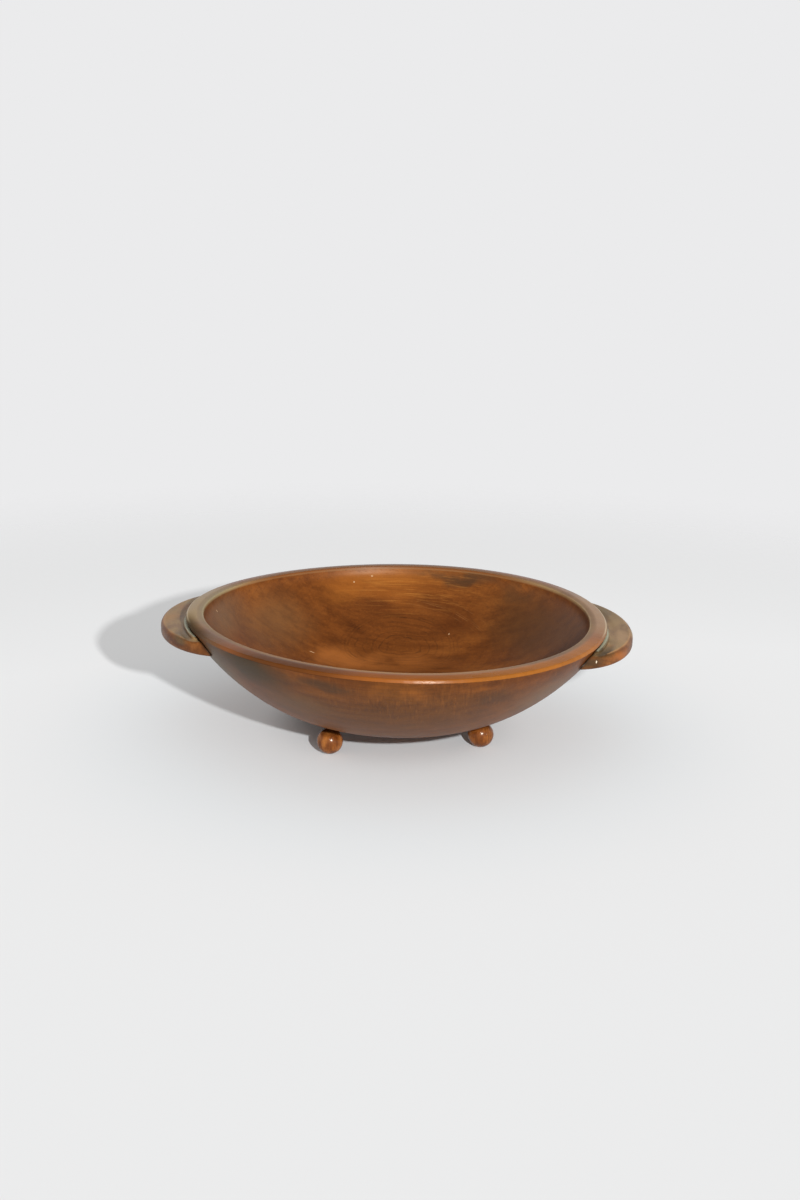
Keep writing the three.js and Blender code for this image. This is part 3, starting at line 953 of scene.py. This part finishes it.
def with_rings(shader, colour, where, depth):
    """The colour with the closed year rings on it."""
    bends = [shader.times(shader.noise(where, *noise), size) for noise, size in RING_BENDS]
    level = shader.plus(depth, *bends)
    near = shader.spot(where, *RING_AREA)
    near = shader.times(near, shader.fit(shader.noise(where, *RING_BREAKS), *RING_BREAK_LIMITS))
    for below_mm, strength in CLOSED_RINGS:
        away = shader.math("ABSOLUTE", shader.math("SUBTRACT", level, (below_mm + RING_OFFSET) * MM))
        width = RING_LINE * math.sqrt(below_mm) * MM
        colour = shader.tint(colour, NEAR_BLACK, shader.fit(away, width, RING_CORE * width), near, strength)
    return colour


def with_scratches(shader, colour, where):
    """The colour with fine scratches in the well."""
    uneven = shader.wobbled(*SCRATCH_WOBBLE)
    near = shader.spot(where, *SCRATCH_AREA)
    near = shader.times(near, shader.fit(shader.noise(where, *SCRATCH_BREAKS), *SCRATCH_BREAK_LIMITS))
    for radius_mm, strength in SCRATCHES:
        line = shader.arc_line(uneven, SCRATCH_CENTRE, radius_mm, SCRATCH_WIDTH)
        colour = shader.tint(colour, SCRATCH_COLOUR, line, near, strength)
    return colour


def bowl_material():
    shader, colour, relief, blotch, streak, depth = wood(
        "bowl_wood", BOWL_TONES, ALONG, LAYERS, RING_CENTRE,
        ring_mm=3.8, ring_strength=0.10, ray_strength=0.22, blotch_scale=20.0)
    where = shader.position()
    uneven = shader.wobbled(*BOWL_WOBBLE)
    edge, outer, band = (shader.attribute(mark) for mark in ("edge", "outer", "band"))
    colour = shader.stained(colour, uneven, BOWL_STAINS_AND_PAINTED_LIGHT)
    colour = shader.streaked(colour, where, TURNED_AREA, TURNED_STREAKS)
    colour = shader.tint(colour, DARK_STREAK, shader.fit(streak, *DARK_STREAK_LIMITS), DARK_STREAK_STRENGTH)
    colour = shader.streaked(colour, where, FRONT_AREA, FRONT_TICKS)
    colour = with_rings(shader, colour, where, depth)
    colour = shader.stained(colour, where, [(*fleck, BARE_WOOD, 0.75, 0.5) for fleck in BOWL_FLECKS])
    colour = with_scratches(shader, colour, where)
    band_colour = shader.stained(BAND_WOOD, uneven, BAND_STAINS)
    colour = shader.tint(colour, band_colour, band, shader.fit(blotch, *BAND_COVER))
    colour = shader.tint(colour, LINEN, edge, shader.fit(blotch, *EDGE_COVER))
    colour = shader.stained(colour, where, EDGE_STAINS, edge)
    # painted shade on the outer front left of the rim
    shade = shader.times(shader.spot(where, *SHADE_AREA), outer)
    colour = shader.tint(colour, SHADE, shade, SHADE_STRENGTH)
    # edge wear and a painted glint along the rim's outer corner
    colour = shader.stained(colour, where, CREST_WEAR_AND_GLINTS, shader.attribute("crest"))
    # painted shade in the crease under the rim
    colour = shader.tint(colour, NEAR_BLACK, shader.attribute("grime_and_shade"), 0.5)
    normal = shader.bump(relief, distance=0.00008, strength=0.5)
    wave = shader.times(shader.noise(where, *RIM_WAVES), outer)
    normal = shader.bump(wave, distance=0.00016, strength=1.0, normal=normal)
    dulled = shader.plus(0.34, shader.times(blotch, 0.16), shader.times(band, -0.12))
    roughness = shader.plus(dulled, shader.times(shade, 0.5))
    return shader.finish(colour, roughness, normal, specular=0.2)


# Handles, feet and dowels

HANDLE_TONES = (tone(78, 42, 16), tone(114, 66, 28), tone(142, 88, 42))
# Flat tops of the handles: rubbed wood and a painted sheen
RUBBED_AND_SHEEN_WOOD = tone(156, 126, 84)
RIDGE_WEAR_AND_GLINT_COLOUR = tone(190, 142, 94)
STRIP_SHEEN_COLOUR = tone(196, 200, 172)
SPECK_COLOUR = tone(92, 46, 20)
SPECKS, SPECK_LIMITS = (420.0, 3.0, 0.6), (0.60, 0.72)
HANDLE_WOBBLE = (12.0, 60.0)
# Stains on the handles, with painted shade among them: middle and reach in mm, colour, strength, softness
HANDLE_STAINS_AND_SHADE = [
    ((-158, -60, 80), (22, 26, 3.5), tone(74, 34, 12), 0.70, 0.8),
    ((-146, -74, 75), (22, 20, 5), tone(86, 50, 28), 0.55, 0.9),
    ((-177, -20, 78), (7, 34, 8), OLIVE, 0.55, 0.9),
    ((-170, -10, 83), (10, 30, 4), tone(172, 118, 66), 0.50, 0.9),
    ((-164, 26, 83), (10, 16, 5), tone(150, 82, 44), 0.45, 0.9),
    ((160, 34, 83), (26, 34, 6), tone(96, 80, 52), 0.65, 0.9),
    ((166, -30, 83), (10, 30, 5), tone(176, 138, 100), 0.60, 0.9),
    ((178, -22, 82), (6, 26, 7), tone(196, 168, 116), 0.70, 0.9),
    ((163, -60, 78), (18, 16, 6), tone(178, 100, 32), 0.60, 0.9),
    ((140, -82, 76), (22, 16, 8), tone(58, 46, 30), 0.80, 0.9),
    # the next three are painted shade in the coves beside the ledges
    ((147, -69, 82), (13, 17, 6), tone(66, 50, 28), 0.85, 0.7),
    ((154, -50, 83), (9, 26, 5), tone(84, 66, 40), 0.60, 0.8),
    ((-150, -58, 83), (10, 20, 5), tone(96, 88, 62), 0.55, 0.8),
]
HANDLE_BARE_WOOD = tone(222, 205, 180)
HANDLE_FLECKS = [
    ((156.6, -47.9, 80.2), (0.8, 0.8, 0.8)),
    ((142.6, -79.2, 77.7), (0.7, 0.7, 1.3)),
    ((-160.0, -30.0, 82.0), (0.8, 0.8, 0.8)),
]


def handle_material():
    shader, colour, relief, blotch, _, _ = wood(
        "handle_wood", HANDLE_TONES, unit((0.15, 1, 0)), unit((0.35, 0.0, 1.0)), (160, 0, 80),
        ring_mm=2.6, ring_strength=0.22, ray_strength=0.12, blotch_scale=60.0)
    where = shader.position()
    top, edge, grime_and_shade, lip = (shader.attribute(mark) for mark in ("top", "edge", "grime_and_shade", "lip"))
    # rubbed wood and a painted sheen on the flat top
    colour = shader.tint(colour, RUBBED_AND_SHEEN_WOOD, top, shader.fit(blotch, *TOP_COVER))
    colour = shader.stained(colour, shader.wobbled(*HANDLE_WOBBLE), HANDLE_STAINS_AND_SHADE)
    speck = shader.fit(shader.noise(where, *SPECKS), *SPECK_LIMITS)
    colour = shader.tint(colour, SPECK_COLOUR, speck, 0.45)
    colour = shader.stained(colour, where, [(*fleck, HANDLE_BARE_WOOD, 1.0, 0.5) for fleck in HANDLE_FLECKS])
    # wear and a painted highlight along the top outer edge
    colour = shader.tint(colour, RIDGE_WEAR_AND_GLINT_COLOUR, edge, shader.fit(blotch, *RIDGE_COVER))
    # dark joint and painted shade beside the body
    colour = shader.tint(colour, NEAR_BLACK, grime_and_shade, 0.94)
    # painted reflection along the ledge
    colour = shader.tint(colour, STRIP_SHEEN_COLOUR, lip, 0.85)
    normal = shader.bump(relief, distance=0.00014, strength=0.5)
    roughness = shader.plus(0.30, shader.times(blotch, 0.22))
    return shader.finish(colour, roughness, normal, specular=0.2)


def foot_material():
    shader, colour, relief, blotch, _, _ = wood(
        "foot_wood", (tone(66, 30, 10), tone(118, 64, 24), tone(164, 100, 44)),
        unit((0.1, 0.05, 1)), unit((1, 0.3, 0)), (0, 0, 0),
        ring_mm=1.8, ring_strength=0.30, ray_strength=0.15, blotch_scale=150.0)
    # painted shade on the top of each ball
    colour = shader.tint(colour, NEAR_BLACK, shader.attribute("grime_and_shade"), 0.75)
    normal = shader.bump(relief, distance=0.00008, strength=0.5)
    roughness = shader.plus(0.16, shader.times(blotch, 0.12))
    return shader.finish(colour, roughness, normal, specular=0.3)


def dowel_material():
    shader, colour, relief, _, _, _ = wood(
        "dowel_wood", (tone(176, 136, 92), tone(201, 160, 113), tone(220, 184, 140)),
        unit((1, 0.1, 0.2)), unit((0, 0.4, 1)), (0, 0, 0),
        ring_mm=1.2, ring_strength=0.15, ray_strength=0.10, blotch_scale=90.0)
    normal = shader.bump(relief, distance=0.00012, strength=0.5)
    return shader.finish(colour, 0.78, normal, specular=0.5)


# Pieces

def make_bowl(material):
    line, marks = bowl_profile()
    line = line + np.array([0, BASE])
    points, faces, owner = revolved(line, BOWL_SEGMENTS)
    marks = {label: values[owner] for label, values in marks.items()}
    mesh = mesh_from("bowl", moved(points), faces, marks)
    cutters = handle_holes("left") + handle_holes("right")
    cutters += [hole_for(f"foot_dowel_{k + 1}") for k in range(FOOT_COUNT)]
    seat = arc((0, FOOT_CENTRE), FOOT_RADIUS + GLUE_GAP, -90, 90, SEAT_STEPS)
    seat[0, 0] = seat[-1, 0] = 0
    ball, ball_faces, _ = revolved(seat, BALL_SEGMENTS)
    cutters += [mesh_from(f"seat_{k + 1}", ball + foot_place(k), ball_faces) for k in range(FOOT_COUNT)]
    place("bowl_turned", cut(mesh, cutters), "bowl", material)


def make_handles(material):
    points, faces = handle_shape()
    for side, turn in (("left", -1.0), ("right", 1.0)):
        turned = points * np.array([turn, turn, 1.0])
        marks = handle_marks(points, -turned[:, 1], STRIP_WIDTHS[side])
        name = f"handle_{side}_carved"
        mesh = cut(mesh_from(name, moved(turned), faces.tolist(), marks), handle_holes(side))
        place(name, mesh, f"handle_{side}", material)


def make_feet(material):
    flat = math.sqrt(FOOT_RADIUS**2 - FOOT_CENTRE**2)
    flat_edge = math.degrees(math.atan2(-FOOT_CENTRE, flat))
    line = np.concatenate([
        [[0, 0]],
        [[flat * share, height] for share, height in FOOT_FLAT],
        arc((0, FOOT_CENTRE), FOOT_RADIUS, flat_edge + FOOT_ARC[0], FOOT_ARC[1], BALL_STEPS),
        [[0, FOOT_CENTRE + FOOT_RADIUS]],
    ])
    points, faces, _ = revolved(line, BALL_SEGMENTS)
    # painted shade on the top of each ball, under the bowl
    grime_and_shade = between(points[:, 2] - FOOT_CENTRE, *FOOT_SHADE_HEIGHTS)
    for k in range(FOOT_COUNT):
        name = f"foot_{k + 1}_turned"
        mesh = mesh_from(name, points + foot_place(k), faces, {"grime_and_shade": grime_and_shade})
        mesh = cut(mesh, [hole_for(f"foot_dowel_{k + 1}")])
        place(name, mesh, f"foot_{k + 1}", material, FOOT_SHARP_ANGLE)


def make_dowels(material):
    for name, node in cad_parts.items():
        if "dowel" in name:
            node.data.materials.clear()
            node.data.materials.append(material)


# Floor and light

BACKGROUND = tone(235, 235, 236)
CEILING = tone(80, 80, 80)
CEILING_LIMITS = (0.35, 0.75)  # height of the way looked at, where the ceiling starts and is full
FILL = 0.52
KEY_PLACE = Vector((0.2015, -0.796, 0.367))
KEY_LEVEL = 1.08
KEY_RADIUS = 0.014
FLOOR_COLOUR = tone(236, 236, 236)
FLOOR_LIGHTEST = 0.95
FLOOR_CAST = (0.996, 1.0, 1.003, 1.0)
# cooler paint near the bowl that takes out the warm light the bowl bounces onto the floor
NEAR_CAST = (0.955, 0.985, 1.0, 1.0)
FLOOR_GLOW = 0.22
FLOOR_RADIUS = 3.0
FLOOR_SIDES = 96

# Metres from the middle of the floor over which it starts to glow, loses the near cast and fades away
GLOW_LIMITS = (0.06, 0.11)
CAST_LIMITS = (0.18, 0.30)
FADE_LIMITS = (0.45, 1.1)


def floor_material():
    """Paint that evens out the lamp's light, with a faint painted glow that lightens its shadows where the
    camera and reflections see it, clear far from the middle.
    """
    shader = Shader("floor_paint")
    where = shader.position()
    length = shader.vector("LENGTH", where, output="Value")
    reach = shader.vector("DISTANCE", where, KEY_PLACE, output="Value")
    level = shader.plus(FILL, shader.times(shader.math("DIVIDE", KEY_PLACE.z, reach), KEY_LEVEL))
    grey = shader.math("MINIMUM", shader.math("DIVIDE", FLOOR_COLOUR[0], level), FLOOR_LIGHTEST)
    cast = shader.mix(shader.fit(length, *CAST_LIMITS), NEAR_CAST, FLOOR_CAST)
    paint = shader.vector("MULTIPLY", shader.combine(grey, grey, grey), cast)
    diffuse = shader.new("BsdfDiffuse", {"Color": paint}).outputs[0]
    glow = shader.new("Emission", {"Color": FLOOR_COLOUR}).outputs[0]
    # painted glow, seen by the camera and in reflections, that lightens the floor's shadows away from the bowl
    glowing = shader.times(shader.seen(), shader.fit(length, *GLOW_LIMITS, 0.0, FLOOR_GLOW))
    lit = shader.blend(glowing, diffuse, glow)
    clear = shader.new("BsdfTransparent").outputs[0]
    faded = shader.blend(shader.fit(length, *FADE_LIMITS), lit, clear)
    shader.join(faded, shader.output.inputs["Surface"])
    return shader.material


def make_floor():
    points = np.pad(circle(FLOOR_SIDES), ((0, 0), (0, 1))) * FLOOR_RADIUS / MM
    mesh = mesh_from("floor", points, [tuple(range(FLOOR_SIDES))])
    mesh.materials.append(floor_material())
    floor = linked("floor", mesh)


def make_world():
    """An even fill, which the camera and reflections see as a pale room with a dark ceiling."""
    world = bpy.data.worlds.new("studio")
    bpy.context.scene.world = world
    world.use_nodes = True
    nodes = Nodes(world.node_tree, "OutputWorld")
    height = nodes.new("SeparateXYZ", {0: nodes.new("TexCoord").outputs["Generated"]}).outputs["Z"]
    room = nodes.mix(nodes.fit(height, *CEILING_LIMITS), BACKGROUND, CEILING)
    seen = nodes.new("Background", {"Color": room}).outputs[0]
    fill = nodes.new("Background", {"Color": (1, 1, 1, 1), "Strength": FILL}).outputs[0]
    nodes.join(nodes.blend(nodes.seen(), fill, seen), nodes.output.inputs["Surface"])


def make_key():
    """A small lamp whose light doesn't fall off, so that KEY_LEVEL is its level on any face square to it."""
    lamp = bpy.data.lights.new("key", "POINT")
    lamp.shadow_soft_size = KEY_RADIUS
    lamp.energy = 1.0
    lamp.use_nodes = True
    tree = lamp.node_tree
    emission = next(n for n in tree.nodes if n.type == "EMISSION")
    falloff = tree.nodes.new("ShaderNodeLightFalloff")
    falloff.inputs["Strength"].default_value = KEY_LEVEL * 4 * math.pi**2
    tree.links.new(falloff.outputs["Constant"], emission.inputs["Strength"])
    key = linked("key", lamp)
    key.location = KEY_PLACE


# Camera: the photograph is 800 by 1200, and the camera is fitted to the rim, body, handles and feet

PHOTO_HEIGHT = 1200
CAMERA_AZIMUTH = math.radians(-88.66)
CAMERA_ELEVATION = math.radians(17.06)
CAMERA_DISTANCE = 1.0
CAMERA_TARGET_HEIGHT = 0.060
CAMERA_PITCH = math.radians(-2.12)
CAMERA_YAW = math.radians(-0.19)
CAMERA_ROLL = math.radians(0.92)
FOCAL_PIXELS = 1312
SENSOR_WIDTH = 36
FARTHEST = 50


def way(azimuth, elevation):
    return np.array([
        math.cos(azimuth) * math.cos(elevation),
        math.sin(azimuth) * math.cos(elevation),
        math.sin(elevation),
    ])


def make_camera():
    eye = CAMERA_DISTANCE * way(CAMERA_AZIMUTH, CAMERA_ELEVATION) + np.array([0, 0, CAMERA_TARGET_HEIGHT])
    forward = -way(CAMERA_AZIMUTH + CAMERA_YAW, CAMERA_ELEVATION + CAMERA_PITCH)
    level = np.cross(forward, [0, 0, 1])
    level /= np.linalg.norm(level)
    upright = np.cross(level, forward)
    c, s = math.cos(CAMERA_ROLL), math.sin(CAMERA_ROLL)
    right = level * c + upright * s
    up = -level * s + upright * c
    data = bpy.data.cameras.new("camera")
    data.sensor_width = SENSOR_WIDTH
    data.lens = FOCAL_PIXELS * SENSOR_WIDTH / PHOTO_HEIGHT
    data.clip_end = FARTHEST
    camera = linked("camera", data)
    matrix = np.eye(4)
    matrix[:3] = np.stack([right, up, -forward, eye], 1)
    camera.matrix_world = Matrix(matrix.tolist())
    bpy.context.scene.camera = camera


bpy.context.scene.view_settings.view_transform = "Standard"
make_camera()
make_world()
make_key()
make_floor()
make_bowl(bowl_material())
make_handles(handle_material())
make_feet(foot_material())
make_dowels(dowel_material())
